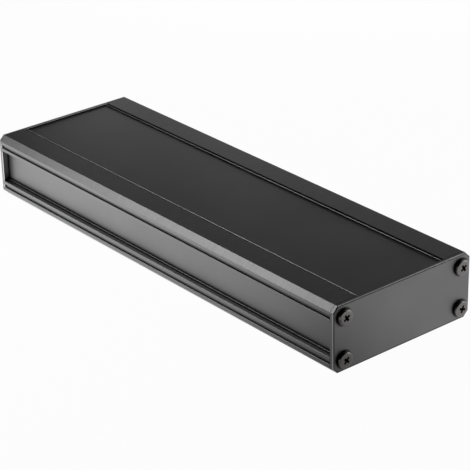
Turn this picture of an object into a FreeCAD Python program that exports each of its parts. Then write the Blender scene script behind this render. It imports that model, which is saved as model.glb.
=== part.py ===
import FreeCAD
import Part
import math
import os

# Extruded aluminium enclosure for a circuit board, in millimetres.
# X runs along the extrusions, Y across them and Z up. The origin is the middle of the underside.
# Two equal side frames hold a top cover and a bottom cover in their slots, and an end plate with
# four screws closes each end.

# Overall
body_length = 230.0
case_width = 76.0
case_height = 30.0
edge_chamfer = 2.5

# End plates
plate_thickness = 2.0
plate_front_radius = 0.6
plate_back_bevel = 0.2
plate_hole_radius = 2.15

# Covers: shallow trays with a round-topped rim and a tongue along each side
cover_thickness = 1.5
rim_width = 0.6
rim_height = 0.5
rim_radius = 0.29
tongue_thickness = 1.0
tongue_clearance = 0.1
tongue_end_clearance = 0.65
joint_gap = 0.8
cover_end_clearance = 0.1

# Lips and slots of the side frames, which hold the tongues
strip_width = 11.1
lip_thickness = 1.05
shelf_thickness = 1.2
shelf_reach = 1.3
hook_thickness = 1.5
hook_to_boss = 0.8

# Outside of a side frame
groove_from_face = 4.1
groove_width = 1.6
groove_depth = 0.75
rib_height = 1.6
recess_shelf = 2.35
recess_step_height = 0.65
recess_step_depth = 0.8
side_wall = 1.5
skin_thickness = 1.8
outer_corner_radius = 0.15
inner_corner_radius = 0.3

# Screw channels
screw_from_side = 5.5
screw_from_face = 5.5
channel_radius = 1.8
channel_wall = 1.4

# Card guides on the inside of the side walls, between the two screw channels
guide_slots = 3
guide_slot_height = 1.9
guide_depth = 2.0
guide_to_boss = 1.25

# Pan head screws with a cross recess
head_radius = 3.9
head_height = 2.6
head_rim = 0.35
head_bulge = 0.45
crown_radius = 2.5
crown_drop = 0.3
shank_gap = 0.05
shank_length = 10.0
shank_bevel = 0.5
cross_span = 4.3
cross_arm_width = 1.0
cross_bottom_span = 2.2
cross_bottom_width = 0.6
cross_depth = 1.7
cross_overshoot = 0.05

# How far each screw happened to stop turning, in degrees, by its place on the plate
screw_turns = {
    "right_top": 45.0,
    "right_bottom": 62.0,
    "left_top": 48.0,
    "left_bottom": 70.0,
}

# Worked out from the sizes above
half_width = case_width / 2
half_height = case_height / 2
half_length = body_length / 2
lip_tip = half_width - edge_chamfer - strip_width
lip_underside = half_height - lip_thickness
shelf_top = lip_underside - tongue_thickness - tongue_clearance
shelf_underside = shelf_top - shelf_thickness
shelf_tip = lip_tip - shelf_reach
skin_underside = half_height - skin_thickness
screw_y = half_width - screw_from_side
screw_z = half_height - screw_from_face
boss_radius = channel_radius + channel_wall
boss_side = screw_y - boss_radius
boss_bottom = screw_z - boss_radius
hook_outside = boss_side - hook_to_boss
slot_floor = hook_outside - hook_thickness
rim_outside = lip_tip - joint_gap
tongue_tip = slot_floor - tongue_end_clearance
guide_room = 2 * (boss_bottom - guide_to_boss)
guide_pitch = (guide_room + guide_slot_height) / (guide_slots + 1)
recess_floor = half_width - recess_shelf - recess_step_depth
wall_inside = recess_floor - side_wall


def side_share(length, other_radius):
    """How much of a side one corner may use: under half where the other corner is rounded too."""
    share = 0.49 if other_radius > 0 else 0.98
    return share * length


def corner_arc(before, corner, after, radius, room):
    """Arc that rounds one corner of an outline, no larger than the room along its two sides."""
    to_before = before - corner
    to_after = after - corner
    turn = to_before.getAngle(to_after)
    setback = min(radius / math.tan(turn / 2), room)
    fitted = setback * math.tan(turn / 2)
    to_before.normalize()
    to_after.normalize()
    bisector = (to_before + to_after).normalize()
    start = corner + to_before * setback
    middle = corner + bisector * (fitted / math.sin(turn / 2) - fitted)
    end = corner + to_after * setback
    return Part.Arc(start, middle, end).toShape()


def rounded_face(corners):
    """Flat face at X = 0 from a closed list of (y, z, corner radius)."""
    points = [FreeCAD.Vector(0, y, z) for y, z, radius in corners]
    count = len(corners)
    arcs = []
    for index in range(count):
        following = (index + 1) % count
        radius = corners[index][2]
        if radius > 0:
            before = points[index - 1]
            corner = points[index]
            after = points[following]
            room = min(side_share((before - corner).Length, corners[index - 1][2]),
                       side_share((after - corner).Length, corners[following][2]))
            arcs.append(corner_arc(before, corner, after, radius, room))
        else:
            arcs.append(None)
    edges = []
    for index in range(count):
        following = (index + 1) % count
        start = arcs[index].Vertexes[-1].Point if arcs[index] else points[index]
        end = arcs[following].Vertexes[0].Point if arcs[following] else points[following]
        if arcs[index]:
            edges.append(arcs[index])
        edges.append(Part.LineSegment(start, end).toShape())
    return Part.Face(Part.Wire(edges))


def extrude_along_x(face, length):
    """Solid from a face at X = 0, centred on X = 0."""
    solid = face.extrude(FreeCAD.Vector(length, 0, 0))
    solid.translate(FreeCAD.Vector(-length / 2, 0, 0))
    return solid


def lowered(corners):
    """The same corners mirrored below the middle height, in reverse order."""
    return [(y, -z, radius) for y, z, radius in reversed(corners)]


def outer_corners():
    """Upper half of the frame's outside, from the lip round to the sunk side wall."""
    groove_top = half_height - groove_from_face
    groove_bottom = groove_top - groove_width
    groove_floor = half_width - groove_depth
    recess_top = groove_bottom - rib_height
    step_y = half_width - recess_shelf
    step_z = recess_top - recess_step_height
    sharp = outer_corner_radius
    return [
        (lip_tip, lip_underside, 0),
        (lip_tip, half_height, 0),
        (half_width - edge_chamfer, half_height, sharp),
        (half_width, half_height - edge_chamfer, sharp),
        (half_width, groove_top, inner_corner_radius),
        (groove_floor, groove_top, 0),
        (groove_floor, groove_bottom, 0),
        (half_width, groove_bottom, sharp),
        (half_width, recess_top, inner_corner_radius),
        (step_y, recess_top, 0),
        (step_y, step_z, sharp),
        (recess_floor, step_z, 0),
    ]


def guide_corners():
    """Ribs of the card guides on the inside of the wall, from the bottom one up."""
    rib_thickness = guide_pitch - guide_slot_height
    rib_tip = wall_inside - guide_depth
    lowest = -guide_slots * guide_pitch / 2
    corners = []
    for index in range(guide_slots + 1):
        middle = lowest + index * guide_pitch
        low = middle - rib_thickness / 2
        high = middle + rib_thickness / 2
        corners.append((wall_inside, low, 0))
        corners.append((rib_tip, low, outer_corner_radius))
        corners.append((rib_tip, high, outer_corner_radius))
        corners.append((wall_inside, high, 0))
    return corners


def channel_corners():
    """Upper half of the frame's inside, from the side wall round the screw channel to the slot."""
    return [
        (wall_inside, boss_bottom, inner_corner_radius),
        (boss_side, boss_bottom, boss_radius),
        (boss_side, skin_underside, inner_corner_radius),
        (hook_outside, skin_underside, inner_corner_radius),
        (hook_outside, shelf_underside, inner_corner_radius),
        (shelf_tip, shelf_underside, outer_corner_radius),
        (shelf_tip, shelf_top, outer_corner_radius),
        (slot_floor, shelf_top, 0),
        (slot_floor, lip_underside, 0),
    ]


def make_side_frame():
    """Left side frame, centred on the middle height."""
    upper_outside = outer_corners()
    inside = channel_corners()
    corners = upper_outside + lowered(upper_outside)
    corners += lowered(inside) + guide_corners() + inside
    frame = extrude_along_x(rounded_face(corners), body_length)
    for z in (-screw_z, screw_z):
        start = FreeCAD.Vector(-half_length, screw_y, z)
        channel = Part.makeCylinder(channel_radius, body_length, start, FreeCAD.Vector(1, 0, 0))
        frame = frame.cut(channel)
    return frame


def make_cover():
    """Top cover about the middle height."""
    floor_top = shelf_top + cover_thickness
    tongue_top = shelf_top + tongue_thickness
    rim_top = floor_top + rim_height
    left_side = [
        (tongue_tip, shelf_top, outer_corner_radius),
        (tongue_tip, tongue_top, outer_corner_radius),
        (rim_outside, tongue_top, 0),
        (rim_outside, rim_top, rim_radius),
        (rim_outside - rim_width, rim_top, rim_radius),
        (rim_outside - rim_width, floor_top, 0),
    ]
    right_side = [(-y, z, radius) for y, z, radius in reversed(left_side)]
    return extrude_along_x(rounded_face(left_side + right_side), body_length - 2 * cover_end_clearance)


def plate_outline():
    """Outline of an end plate, with the corners clipped like the frames."""
    side = half_width
    top = half_height
    clip = edge_chamfer
    upper = [(-side, top - clip, 0), (-side + clip, top, 0), (side - clip, top, 0), (side, top - clip, 0)]
    return upper + lowered(upper)


def on_plane(edge, x):
    """True for an edge that lies flat at this X."""
    box = edge.BoundBox
    return abs(box.XMin - x) < 1e-6 and abs(box.XMax - x) < 1e-6


def make_end_plate():
    """Front end plate, with its back face at X = 0 and centred on the middle height."""
    plate = rounded_face(plate_outline()).extrude(FreeCAD.Vector(plate_thickness, 0, 0))
    front_edges = [edge for edge in plate.Edges if on_plane(edge, plate_thickness)]
    plate = plate.makeFillet(plate_front_radius, front_edges)
    back_edges = [edge for edge in plate.Edges if on_plane(edge, 0)]
    plate = plate.makeChamfer(plate_back_bevel, back_edges)
    for y in (-screw_y, screw_y):
        for z in (-screw_z, screw_z):
            start = FreeCAD.Vector(0, y, z)
            hole = Part.makeCylinder(plate_hole_radius, plate_thickness, start, FreeCAD.Vector(1, 0, 0))
            plate = plate.cut(hole)
    return plate


def make_cross_arm():
    """One tapered bar of the cross recess, along Y, cut down from the top of the head."""
    sizes = [(cross_bottom_span, cross_bottom_width, head_height - cross_depth),
             (cross_span, cross_arm_width, head_height + cross_overshoot)]
    sections = []
    for span, width, x in sizes:
        corners = [(-span / 2, -width / 2), (span / 2, -width / 2), (span / 2, width / 2), (-span / 2, width / 2)]
        points = [FreeCAD.Vector(x, y, z) for y, z in corners]
        sections.append(Part.makePolygon(points + points[:1]))
    return Part.makeLoft(sections, True)


def make_screw(turn):
    """Screw along X, with the underside of its head at X = 0 and its shank towards -X."""
    shank_radius = channel_radius - shank_gap
    crown_edge = FreeCAD.Vector(head_height - crown_drop, crown_radius, 0)
    rim = FreeCAD.Vector(head_rim, head_radius, 0)
    chord = crown_edge - rim
    outwards = FreeCAD.Vector(-chord.y, chord.x, 0).normalize()
    side_middle = rim + chord * 0.5 + outwards * head_bulge
    top = FreeCAD.Vector(head_height, 0, 0)
    dome = Part.Arc(FreeCAD.Vector(crown_edge.x, -crown_radius, 0), top, crown_edge)
    halfway = (dome.parameter(top) + dome.parameter(crown_edge)) / 2
    crown = Part.Arc(top, dome.value(halfway), crown_edge)
    shank_end = -shank_length
    straight = [
        rim,
        FreeCAD.Vector(0, head_radius, 0),
        FreeCAD.Vector(0, shank_radius, 0),
        FreeCAD.Vector(shank_end + shank_bevel, shank_radius, 0),
        FreeCAD.Vector(shank_end, shank_radius - shank_bevel, 0),
        FreeCAD.Vector(shank_end, 0, 0),
        top,
    ]
    edges = [crown.toShape(), Part.Arc(crown_edge, side_middle, rim).toShape()]
    for start, end in zip(straight, straight[1:]):
        edges.append(Part.LineSegment(start, end).toShape())
    profile = Part.Face(Part.Wire(Part.__sortEdges__(edges)))
    axis = FreeCAD.Vector(1, 0, 0)
    centre = FreeCAD.Vector(0, 0, 0)
    screw = profile.revolve(centre, axis, 360)
    for angle in (turn, turn + 90):
        arm = make_cross_arm()
        arm.rotate(centre, axis, angle)
        screw = screw.cut(arm)
    return screw


def build_pieces():
    """Every separate piece in its place, by name."""
    pieces = {}
    axis_x = FreeCAD.Vector(1, 0, 0)
    axis_z = FreeCAD.Vector(0, 0, 1)
    centre = FreeCAD.Vector(0, 0, 0)
    lift = FreeCAD.Vector(0, 0, half_height)

    left_frame = make_side_frame()
    right_frame = left_frame.copy()
    right_frame.rotate(centre, axis_x, 180)
    pieces["left_side_frame"] = left_frame
    pieces["right_side_frame"] = right_frame

    # The bottom cover has come down onto its lips by the clearance of its tongues
    top_cover = make_cover()
    bottom_cover = top_cover.copy()
    bottom_cover.rotate(centre, axis_x, 180)
    bottom_cover.translate(FreeCAD.Vector(0, 0, -tongue_clearance))
    pieces["top_cover"] = top_cover
    pieces["bottom_cover"] = bottom_cover
    for piece in pieces.values():
        piece.translate(lift)

    front_plate = make_end_plate()
    front_plate.translate(FreeCAD.Vector(half_length, 0, half_height))
    rear_plate = front_plate.copy()
    rear_plate.rotate(centre, axis_z, 180)
    pieces["front_end_plate"] = front_plate
    pieces["rear_end_plate"] = rear_plate

    head_seat = half_length + plate_thickness
    places = {
        "right_top": (-screw_y, screw_z),
        "right_bottom": (-screw_y, -screw_z),
        "left_top": (screw_y, screw_z),
        "left_bottom": (screw_y, -screw_z),
    }
    for end, x, half_turn in (("front", head_seat, 0), ("rear", -head_seat, 180)):
        for place, (y, z) in places.items():
            screw = make_screw(screw_turns[place])
            screw.rotate(centre, axis_z, half_turn)
            screw.translate(FreeCAD.Vector(x, y, half_height + z))
            pieces[end + "_screw_" + place] = screw
    return pieces


def main():
    os.makedirs("parts", exist_ok=True)
    for name, shape in build_pieces().items():
        shape.exportStep("parts/" + name + ".step")
        print(name, "valid" if shape.isValid() else "NOT VALID", "volume", round(shape.Volume, 2))


main()
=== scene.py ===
import math

import bpy
from mathutils import Matrix, Vector


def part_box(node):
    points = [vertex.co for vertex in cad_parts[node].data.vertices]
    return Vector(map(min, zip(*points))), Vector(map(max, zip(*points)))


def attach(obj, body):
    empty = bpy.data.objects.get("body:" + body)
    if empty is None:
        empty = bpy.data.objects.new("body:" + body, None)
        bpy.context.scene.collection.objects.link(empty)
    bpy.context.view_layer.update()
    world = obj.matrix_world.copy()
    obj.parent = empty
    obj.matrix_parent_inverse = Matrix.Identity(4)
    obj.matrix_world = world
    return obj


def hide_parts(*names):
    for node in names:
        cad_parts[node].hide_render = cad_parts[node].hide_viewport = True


# Looks of the extruded aluminium enclosure: black anodised metal in a pale, softly lit studio.
# Lengths are metres. X runs along the case, Y across it and Z up.

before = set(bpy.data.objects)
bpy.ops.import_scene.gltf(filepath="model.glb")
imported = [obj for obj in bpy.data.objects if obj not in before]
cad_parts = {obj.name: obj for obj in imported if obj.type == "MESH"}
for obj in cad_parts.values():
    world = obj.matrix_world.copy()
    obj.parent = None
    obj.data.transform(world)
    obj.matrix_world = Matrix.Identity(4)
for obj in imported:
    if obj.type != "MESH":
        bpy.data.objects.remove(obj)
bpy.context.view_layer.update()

# Camera, from a fit of the case's edges in the photograph, with its angles in radians
CAMERA_PLACE = Vector((0.61954, -0.49639, 0.38992))
CAMERA_YAW = 2.45735
CAMERA_PITCH = 0.44901
CAMERA_ROLL = -0.02217
CAMERA_LENS = 151.37
CAMERA_SENSOR = 36.0
CAMERA_REACH = 50.0

# Soft lamps that face the case's middle: elevation and azimuth in degrees, distance, width, height and watts
CASE_MIDDLE = Vector((0.0, 0.0, 0.015))
LAMPS = {
    "front_left_high": (45, -135, 0.35, 0.20, 0.20, 0.47),
    "front_left_low": (16, -135, 0.35, 0.20, 0.20, 0.20),
    "behind_left": (8, 135, 0.35, 0.30, 0.12, 0.098),
    "behind": (8, 120, 0.35, 0.30, 0.12, 0.059),
    "far_left": (8, 165, 0.35, 0.20, 0.20, 0.009),
    "behind_right_low": (8, 45, 0.35, 0.20, 0.20, 0.29),
    "behind_right_high": (50, 80, 0.50, 0.20, 0.20, 0.14),
}

# Light of the studio air, from the horizon (0) up
AIR_LIGHT = ((0.0, 1.0), (0.12, 0.0))

# Floor, and the share of it that the eye sees as plain white; the rest shows the case's shadow
FLOOR_RADIUS = 8.0
FLOOR_CORNERS = 64
FLOOR_PALENESS = 0.9
FLOOR_ROUGHNESS = 0.9
FLOOR_WHITE_SHARE = 0.97

# Light on the floor as the metal mirrors it: even, with a painted pool of light along the right side of the
# case and a painted shadow in front of its near corner. Each painted patch has its middle, its reach along X
# and Y, and its added light.
FLOOR_LIGHT = 0.90
PAINTED_FLOOR_POOLS_AND_SHADOW = (
    ((-0.12, -0.09), (0.20, 0.12), 1.49),
    ((0.155, -0.085), (0.105, 0.105), -1.15),
)

FRAMES = ("left_side_frame", "right_side_frame")
COVERS = ("top_cover", "bottom_cover")
END_PLATES = ("front_end_plate", "rear_end_plate")

# Marks in the metal, by how often they repeat in a metre: grain, clouds, die lines along and streaks across
GRAIN_SCALE = 2600.0
GRAIN_DETAIL = 3.0
CLOUD_SCALE = 28.0
CLOUD_DETAIL = 4.0
DIE_LINE_SPREAD = (6.0, 1400.0, 1400.0)
STREAK_SPREAD = (900.0, 120.0, 120.0)
LINE_DETAIL = 2.0
NOISE_RANGE = (0.3, 0.7)
TONE_CHANGE = 0.08
SHEEN_CHANGE = 0.02

# Painted shade in grooves, corners and joints, darkening the colour where shade falls: how far it reaches
# on level faces, how level those are, and its steps from closed in to open
PAINTED_SHADE_REACH = 0.0011
PAINTED_SHADE_LEVEL = 0.96
PAINTED_SHADE_SAMPLES = 6
PAINTED_SHADE_STEPS = ((0.45, 0.08), (0.73, 0.25), (0.88, 0.65), (1.0, 1.0))

# Painted highlight and painted shade across a plate's rounded front edge, as shares of the colour from its
# side (0)
# to its face (1): a painted light line, then a painted dark one. The same across a cover's rim, from its
# flat parts (0) over the painted bright rounded top to the painted dark upright side (1).
PLATE_EDGE_PAINTED_LIGHT = (
    (0.0, 1.0), (0.12, 3.4), (0.70, 3.4), (0.82, 0.6), (0.96, 0.05), (0.9995, 0.3), (1.0, 1.0),
)
COVER_RIM_PAINTED_LIGHT = (
    (0.0, 1.0), (0.05, 1.0), (0.20, 1.8), (0.65, 1.8), (0.85, 0.5), (0.97, 0.08), (1.0, 0.04),
)

# Low pan head screws with a cross recess: sizes, and how far each stopped turning, in degrees
SCREW_SIZES = {
    "Head radius": 0.0036,
    "Head height": 0.0019,
    "Recess span": 0.0034,
    "Recess width": 0.0011,
    "Recess depth": 0.0014,
    "Shank radius": 0.00175,
    "Shank length": 0.0100,
}
SCREW_TURNS = {
    "right_top": 33.0,
    "right_bottom": 47.0,
    "left_top": 33.0,
    "left_bottom": 70.0,
}
ROUND_CORNERS = 32
HEAD_RINGS = 2
HEAD_SMOOTHING = 2
SHARP_ANGLE = 40.0


def shader_tree(name):
    """New material with an empty tree: the material, its nodes and its links."""
    material = bpy.data.materials.new(name)
    material.use_nodes = True
    tree = material.node_tree
    tree.nodes.clear()
    return material, tree.nodes, tree.links


def feed(links, socket, value):
    """Number set on a socket, or another node's output linked to it."""
    if isinstance(value, float):
        socket.default_value = value
    else:
        links.new(value, socket)


def math_node(nodes, links, operation, *values):
    """Result of a sum, a product or the like."""
    node = nodes.new("ShaderNodeMath")
    node.operation = operation
    for socket, value in zip(node.inputs, values):
        feed(links, socket, value)
    return node.outputs["Value"]


def blend(nodes, links, share, first, second):
    """First value where the share is 0 and second where it is 1."""
    node = nodes.new("ShaderNodeMix")
    feed(links, node.inputs["Factor"], share)
    feed(links, node.inputs["A"], first)
    feed(links, node.inputs["B"], second)
    return node.outputs["Result"]


def mapped(nodes, links, value, from_range, to_range):
    """Value moved from one range to another and held at its ends."""
    node = nodes.new("ShaderNodeMapRange")
    links.new(value, node.inputs["Value"])
    node.inputs["From Min"].default_value, node.inputs["From Max"].default_value = from_range
    node.inputs["To Min"].default_value, node.inputs["To Max"].default_value = to_range
    return node.outputs["Result"]


def multiplied(nodes, links, first, second):
    """Product of two colours."""
    node = nodes.new("ShaderNodeMixRGB")
    node.blend_type = "MULTIPLY"
    node.inputs["Fac"].default_value = 1.0
    links.new(first, node.inputs["Color1"])
    links.new(second, node.inputs["Color2"])
    return node.outputs["Color"]


def ramp(nodes, links, source, stops):
    """Colour ramp on a grey source, from stops that pair a position with a grey or a colour."""
    node = nodes.new("ShaderNodeValToRGB")
    links.new(source, node.inputs["Fac"])
    while len(node.color_ramp.elements) < len(stops):
        node.color_ramp.elements.new(0.5)
    for element, (position, value) in zip(node.color_ramp.elements, stops):
        element.position = position
        colour = value if isinstance(value, tuple) else (value, value, value)
        element.color = (*colour, 1.0)
    return node.outputs["Color"]


def noise(nodes, links, spread, scale, detail):
    """Grey noise that stays with the metal, with a spread for each axis."""
    coordinates = nodes.new("ShaderNodeTexCoord")
    mapping = nodes.new("ShaderNodeMapping")
    mapping.inputs["Scale"].default_value = spread
    links.new(coordinates.outputs["Object"], mapping.inputs["Vector"])
    node = nodes.new("ShaderNodeTexNoise")
    node.inputs["Scale"].default_value = scale
    node.inputs["Detail"].default_value = detail
    links.new(mapping.outputs["Vector"], node.inputs["Vector"])
    return node.outputs["Fac"]


def normal_along(nodes, links, normal, axis):
    """How squarely a face looks along an axis, by its flat or its smooth normal."""
    geometry = nodes.new("ShaderNodeNewGeometry")
    split = nodes.new("ShaderNodeSeparateXYZ")
    links.new(geometry.outputs[normal], split.inputs["Vector"])
    return split.outputs[axis]


def painted_hollow_shade(nodes, links, steep_shade_reach):
    """Painted shade: grey share, full on open faces and low in grooves, corners and joints, where shade
    falls.
    """
    level = normal_along(nodes, links, "True Normal", "Z")
    # Painted shade, from how closed in each point is
    hollow = nodes.new("ShaderNodeAmbientOcclusion")
    hollow.samples = PAINTED_SHADE_SAMPLES
    reach = mapped(nodes, links, level, (PAINTED_SHADE_LEVEL, 1.0), (steep_shade_reach, PAINTED_SHADE_REACH))
    links.new(reach, hollow.inputs["Distance"])
    return ramp(nodes, links, hollow.outputs["AO"], PAINTED_SHADE_STEPS)


def painted_edge_light(nodes, links, axis, stops):
    """Painted highlight and shade: share of the colour by how squarely a face looks along an axis, for the
    light and dark lines on rounded edges and rims.
    """
    facing = math_node(nodes, links, "ABSOLUTE", normal_along(nodes, links, "Normal", axis))
    return ramp(nodes, links, facing, stops)


def black_finish(name, colour, roughness, relief, steep_shade_reach=PAINTED_SHADE_REACH, streaks=0.0, edge=None):
    """Black finished metal: fine etched grain, faint die lines along the case and an uneven sheen.

    Streaks run across level faces. Painted shade darkens grooves, corners and joints, and an edge can get a
    painted highlight and a painted dark line.
    """
    material, nodes, links = shader_tree(name)
    output = nodes.new("ShaderNodeOutputMaterial")
    surface = nodes.new("ShaderNodeBsdfPrincipled")
    surface.inputs["Metallic"].default_value = 1.0
    links.new(surface.outputs["BSDF"], output.inputs["Surface"])

    even = (1.0, 1.0, 1.0)
    clouds = noise(nodes, links, even, CLOUD_SCALE, CLOUD_DETAIL)
    tone = clouds
    if streaks:
        streaked = noise(nodes, links, STREAK_SPREAD, 1.0, LINE_DETAIL)
        level = math_node(nodes, links, "ABSOLUTE", normal_along(nodes, links, "True Normal", "Z"))
        tone = blend(nodes, links, math_node(nodes, links, "MULTIPLY", level, streaks), clouds, streaked)
    dark = tuple(channel * (1.0 - TONE_CHANGE) for channel in colour)
    light = tuple(channel * (1.0 + TONE_CHANGE) for channel in colour)
    mottled = ramp(nodes, links, tone, tuple(zip(NOISE_RANGE, (dark, light))))
    # Painted shade darkens the colour in grooves, corners and joints
    shaded = multiplied(nodes, links, mottled, painted_hollow_shade(nodes, links, steep_shade_reach))
    # Painted highlight and painted shade along rounded edges and rims
    if edge:
        shaded = multiplied(nodes, links, shaded, painted_edge_light(nodes, links, *edge))
    links.new(shaded, surface.inputs["Base Color"])

    sheen = mapped(nodes, links, clouds, NOISE_RANGE, (roughness - SHEEN_CHANGE, roughness + SHEEN_CHANGE))
    links.new(sheen, surface.inputs["Roughness"])

    grain = noise(nodes, links, even, GRAIN_SCALE, GRAIN_DETAIL)
    die_lines = noise(nodes, links, DIE_LINE_SPREAD, 1.0, LINE_DETAIL)
    bump = nodes.new("ShaderNodeBump")
    bump.inputs["Strength"].default_value = 1.0
    bump.inputs["Distance"].default_value = relief
    links.new(math_node(nodes, links, "ADD", grain, die_lines), bump.inputs["Height"])
    links.new(bump.outputs["Normal"], surface.inputs["Normal"])
    return material


def floor_glow(nodes, links):
    """How bright the metal sees the floor: even, with painted patches of light and shade that fade outwards.
    """
    coordinates = nodes.new("ShaderNodeTexCoord")
    glow = FLOOR_LIGHT
    for middle, reach, light in PAINTED_FLOOR_POOLS_AND_SHADOW:
        mapping = nodes.new("ShaderNodeMapping")
        mapping.inputs["Location"].default_value = (-middle[0] / reach[0], -middle[1] / reach[1], 0.0)
        mapping.inputs["Scale"].default_value = (1.0 / reach[0], 1.0 / reach[1], 1.0)
        links.new(coordinates.outputs["Object"], mapping.inputs["Vector"])
        patch = nodes.new("ShaderNodeTexGradient")
        patch.gradient_type = "SPHERICAL"
        links.new(mapping.outputs["Vector"], patch.inputs["Vector"])
        # Painted pool of light where a patch adds light, painted shadow where it takes light away
        glow = math_node(nodes, links, "MULTIPLY_ADD", patch.outputs["Fac"], light, glow)
    return math_node(nodes, links, "MAXIMUM", glow, 0.0)


def pale_floor_material():
    """Floor that the eye sees nearly white, with a faint shadow, and the metal by its painted patches of
    light and shade.
    """
    material, nodes, links = shader_tree("pale_floor")
    output = nodes.new("ShaderNodeOutputMaterial")
    lit = nodes.new("ShaderNodeBsdfPrincipled")
    lit.inputs["Base Color"].default_value = (FLOOR_PALENESS, FLOOR_PALENESS, FLOOR_PALENESS, 1.0)
    lit.inputs["Roughness"].default_value = FLOOR_ROUGHNESS
    lit.inputs["Specular IOR Level"].default_value = 0.0
    rays = nodes.new("ShaderNodeLightPath").outputs
    white = nodes.new("ShaderNodeEmission")
    strength = blend(nodes, links, rays["Is Camera Ray"], floor_glow(nodes, links), 1.0)
    links.new(strength, white.inputs["Strength"])
    mirrored = math_node(nodes, links, "MAXIMUM", rays["Is Glossy Ray"], rays["Is Transmission Ray"])
    share = math_node(nodes, links, "MULTIPLY_ADD", rays["Is Camera Ray"], FLOOR_WHITE_SHARE, mirrored)
    mix = nodes.new("ShaderNodeMixShader")
    links.new(share, mix.inputs["Fac"])
    links.new(lit.outputs["BSDF"], mix.inputs[1])
    links.new(white.outputs["Emission"], mix.inputs[2])
    links.new(mix.outputs["Shader"], output.inputs["Surface"])
    return material


def lay_floor():
    """Round floor that the case stands on."""
    turns = [2 * math.pi * index / FLOOR_CORNERS for index in range(FLOOR_CORNERS)]
    points = [(FLOOR_RADIUS * math.cos(turn), FLOOR_RADIUS * math.sin(turn), 0.0) for turn in turns]
    mesh = bpy.data.meshes.new("floor")
    mesh.from_pydata(points, [], [tuple(range(FLOOR_CORNERS))])
    mesh.materials.append(pale_floor_material())
    floor = bpy.data.objects.new("floor", mesh)
    bpy.context.scene.collection.objects.link(floor)


def light_world():
    """Studio air: bright near the horizon and dark above, so that the tops of the case stay dark."""
    world = bpy.data.worlds.new("studio")
    bpy.context.scene.world = world
    world.use_nodes = True
    nodes = world.node_tree.nodes
    links = world.node_tree.links
    nodes.clear()
    output = nodes.new("ShaderNodeOutputWorld")
    background = nodes.new("ShaderNodeBackground")
    links.new(background.outputs["Background"], output.inputs["Surface"])
    coordinates = nodes.new("ShaderNodeTexCoord")
    split = nodes.new("ShaderNodeSeparateXYZ")
    links.new(coordinates.outputs["Generated"], split.inputs["Vector"])
    links.new(ramp(nodes, links, split.outputs["Z"], AIR_LIGHT), background.inputs["Color"])


def soft_lamp(name, elevation, azimuth, distance, width, height, power):
    """Rectangular soft lamp that faces the case's middle."""
    rise = math.radians(elevation)
    turn = math.radians(azimuth)
    outward = Vector((math.cos(rise) * math.cos(turn), math.cos(rise) * math.sin(turn), math.sin(rise)))
    light = bpy.data.lights.new(name, "AREA")
    light.shape = "RECTANGLE"
    light.size = width
    light.size_y = height
    light.energy = power
    lamp = bpy.data.objects.new(name, light)
    lamp.location = CASE_MIDDLE + distance * outward
    lamp.rotation_euler = outward.to_track_quat("Z", "Y").to_euler()
    lamp.visible_camera = False
    bpy.context.scene.collection.objects.link(lamp)


def place_camera():
    """Camera at the photograph's angle, from its yaw, pitch and roll."""
    forward = Vector((math.cos(CAMERA_PITCH) * math.cos(CAMERA_YAW),
                      math.cos(CAMERA_PITCH) * math.sin(CAMERA_YAW),
                      -math.sin(CAMERA_PITCH)))
    right = forward.cross(Vector((0, 0, 1))).normalized()
    up = right.cross(forward)
    turned_right = math.cos(CAMERA_ROLL) * right + math.sin(CAMERA_ROLL) * up
    turned_up = math.cos(CAMERA_ROLL) * up - math.sin(CAMERA_ROLL) * right
    turn = Matrix((turned_right, turned_up, -forward)).transposed().to_4x4()
    data = bpy.data.cameras.new("camera")
    data.lens = CAMERA_LENS
    data.sensor_width = CAMERA_SENSOR
    data.sensor_fit = "HORIZONTAL"
    data.clip_end = CAMERA_REACH
    camera = bpy.data.objects.new("camera", data)
    camera.matrix_world = Matrix.Translation(CAMERA_PLACE) @ turn
    bpy.context.scene.collection.objects.link(camera)
    bpy.context.scene.camera = camera


def shifted_up(nodes, links, shape, height):
    """Shape moved up by a height: the moving node, which can turn it too."""
    node = nodes.new("GeometryNodeTransform")
    offset = nodes.new("ShaderNodeCombineXYZ")
    links.new(shape, node.inputs["Geometry"])
    links.new(height, offset.inputs["Z"])
    links.new(offset.outputs["Vector"], node.inputs["Translation"])
    return node


def cylinder(nodes, links, radius, depth, middle, rings):
    """Upright cylinder about a middle height, cut into rings on its side and its ends."""
    node = nodes.new("GeometryNodeMeshCylinder")
    node.inputs["Vertices"].default_value = ROUND_CORNERS
    node.inputs["Side Segments"].default_value = rings
    node.inputs["Fill Segments"].default_value = rings
    links.new(radius, node.inputs["Radius"])
    links.new(depth, node.inputs["Depth"])
    return shifted_up(nodes, links, node.outputs["Mesh"], middle).outputs["Geometry"]


def recess_bar(nodes, links, sizes, turn):
    """One bar of the cross recess, sunk into the top of the head by the recess's depth."""
    bar = nodes.new("GeometryNodeMeshCube")
    bar_size = nodes.new("ShaderNodeCombineXYZ")
    links.new(sizes["Recess span"], bar_size.inputs["X"])
    links.new(sizes["Recess width"], bar_size.inputs["Y"])
    links.new(math_node(nodes, links, "MULTIPLY", sizes["Recess depth"], 2.0), bar_size.inputs["Z"])
    links.new(bar_size.outputs["Vector"], bar.inputs["Size"])
    place = shifted_up(nodes, links, bar.outputs["Mesh"], sizes["Head height"])
    place.inputs["Rotation"].default_value = (0.0, 0.0, turn)
    return place.outputs["Geometry"]


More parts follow.
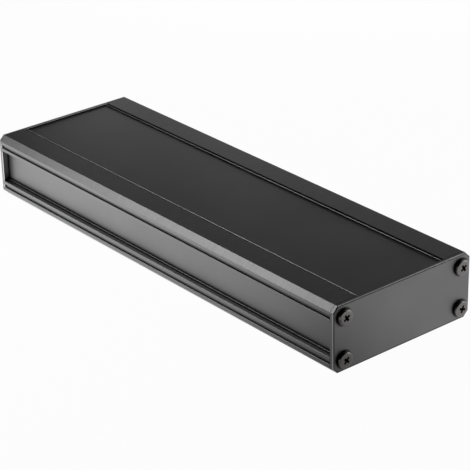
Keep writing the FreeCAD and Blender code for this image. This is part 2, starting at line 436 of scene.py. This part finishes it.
def lying_screw(nodes, links, sizes):
    """One screw along X: a head with rounded edges and a cross recess, and a plain shank behind it."""
    half_head = math_node(nodes, links, "MULTIPLY", sizes["Head height"], 0.5)
    head = cylinder(nodes, links, sizes["Head radius"], sizes["Head height"], half_head, HEAD_RINGS)
    rounded = nodes.new("GeometryNodeSubdivisionSurface")
    rounded.inputs["Level"].default_value = HEAD_SMOOTHING
    links.new(head, rounded.inputs["Mesh"])
    recessed = nodes.new("GeometryNodeMeshBoolean")
    recessed.operation = "DIFFERENCE"
    recessed.solver = "EXACT"
    links.new(rounded.outputs["Mesh"], recessed.inputs["Mesh 1"])
    for turn in (0.0, math.pi / 2):
        links.new(recess_bar(nodes, links, sizes, turn), recessed.inputs["Mesh 2"])

    half_shank = math_node(nodes, links, "MULTIPLY", sizes["Shank length"], -0.5)
    shank = cylinder(nodes, links, sizes["Shank radius"], sizes["Shank length"], half_shank, 1)
    screw = nodes.new("GeometryNodeJoinGeometry")
    links.new(recessed.outputs["Mesh"], screw.inputs["Geometry"])
    links.new(shank, screw.inputs["Geometry"])
    lying = nodes.new("GeometryNodeTransform")
    links.new(screw.outputs["Geometry"], lying.inputs["Geometry"])
    lying.inputs["Rotation"].default_value = (0.0, math.pi / 2, 0.0)
    return lying.outputs["Geometry"]


def screw_tree(finish):
    """Geometry Nodes tree that sets a screw on every place, turned and facing as the place says."""
    tree = bpy.data.node_groups.new("screw_set", "GeometryNodeTree")
    nodes = tree.nodes
    links = tree.links
    tree.interface.new_socket("Places", in_out="INPUT", socket_type="NodeSocketGeometry")
    for name, size in SCREW_SIZES.items():
        tree.interface.new_socket(name, in_out="INPUT", socket_type="NodeSocketFloat").default_value = size
    tree.interface.new_socket("Screws", in_out="OUTPUT", socket_type="NodeSocketGeometry")
    inputs = nodes.new("NodeGroupInput").outputs

    rotation = nodes.new("ShaderNodeCombineXYZ")
    for attribute, axis in (("turn", "X"), ("facing", "Z")):
        value = nodes.new("GeometryNodeInputNamedAttribute")
        value.data_type = "FLOAT"
        value.inputs["Name"].default_value = attribute
        links.new(value.outputs["Attribute"], rotation.inputs[axis])
    copies = nodes.new("GeometryNodeInstanceOnPoints")
    links.new(inputs["Places"], copies.inputs["Points"])
    links.new(lying_screw(nodes, links, inputs), copies.inputs["Instance"])
    links.new(rotation.outputs["Vector"], copies.inputs["Rotation"])
    real = nodes.new("GeometryNodeRealizeInstances")
    links.new(copies.outputs["Instances"], real.inputs["Geometry"])
    finished = nodes.new("GeometryNodeSetMaterial")
    finished.inputs["Material"].default_value = finish
    links.new(real.outputs["Geometry"], finished.inputs["Geometry"])
    links.new(finished.outputs["Geometry"], nodes.new("NodeGroupOutput").inputs["Screws"])
    return tree


def screw_seats():
    """Every screw's name, the middle of its seat on its end plate, its turn and the way it faces."""
    seats = []
    for end, side, facing in (("front", 1, 0.0), ("rear", 0, math.pi)):
        plate_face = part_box(f"{end}_end_plate")[side][0]
        for place, turn in SCREW_TURNS.items():
            name = f"{end}_screw_{place}"
            lowest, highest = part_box(name)
            middle = (plate_face, (lowest[1] + highest[1]) / 2, (lowest[2] + highest[2]) / 2)
            seats.append((name, middle, math.radians(turn), facing))
    return seats


def set_screws(finish):
    """The eight screws as one mesh, each with its head's underside on its end plate."""
    names, middles, turns, facings = zip(*screw_seats())
    mesh = bpy.data.meshes.new("screw_places")
    mesh.from_pydata(middles, [], [])
    for attribute, values in (("turn", turns), ("facing", facings)):
        mesh.attributes.new(attribute, "FLOAT", "POINT").data.foreach_set("value", values)
    places = bpy.data.objects.new("screw_places", mesh)
    bpy.context.scene.collection.objects.link(places)
    places.modifiers.new("screw_set", "NODES").node_group = screw_tree(finish)
    evaluated = places.evaluated_get(bpy.context.evaluated_depsgraph_get())
    plain = bpy.data.meshes.new_from_object(evaluated)
    bpy.data.objects.remove(places)
    plain.name = "end_plate_screws"
    plain.shade_smooth()
    plain.set_sharp_from_angle(angle=math.radians(SHARP_ANGLE))
    screws = bpy.data.objects.new("end_plate_screws", plain)
    bpy.context.scene.collection.objects.link(screws)
    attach(screws, "root")
    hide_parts(*names)


def dress(names, finish):
    """One finish on each of the named nodes."""
    for name in names:
        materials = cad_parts[name].data.materials
        materials.clear()
        materials.append(finish)


bpy.context.scene.view_settings.view_transform = "Standard"
place_camera()
lay_floor()
light_world()
for lamp_name, lamp_values in LAMPS.items():
    soft_lamp(lamp_name, *lamp_values)

frame_finish = black_finish("frame_anodised", (0.160, 0.160, 0.161), 0.42, 0.000004, streaks=0.9)
# Covers: a painted highlight on the rounded tops of their rims and painted shade on their upright sides
cover_finish = black_finish("cover_anodised", (0.160, 0.160, 0.161), 0.42, 0.000002,
                            steep_shade_reach=0.0001, edge=("Y", COVER_RIM_PAINTED_LIGHT))
# Plates: a painted light line, then a painted dark line, along their rounded front edges
plate_finish = black_finish("plate_anodised", (0.160, 0.160, 0.160), 0.42, 0.000002,
                            edge=("X", PLATE_EDGE_PAINTED_LIGHT))
dress(FRAMES, frame_finish)
dress(COVERS, cover_finish)
dress(END_PLATES, plate_finish)
set_screws(black_finish("screw_blackened", (0.170, 0.162, 0.160), 0.28, 0.000001))
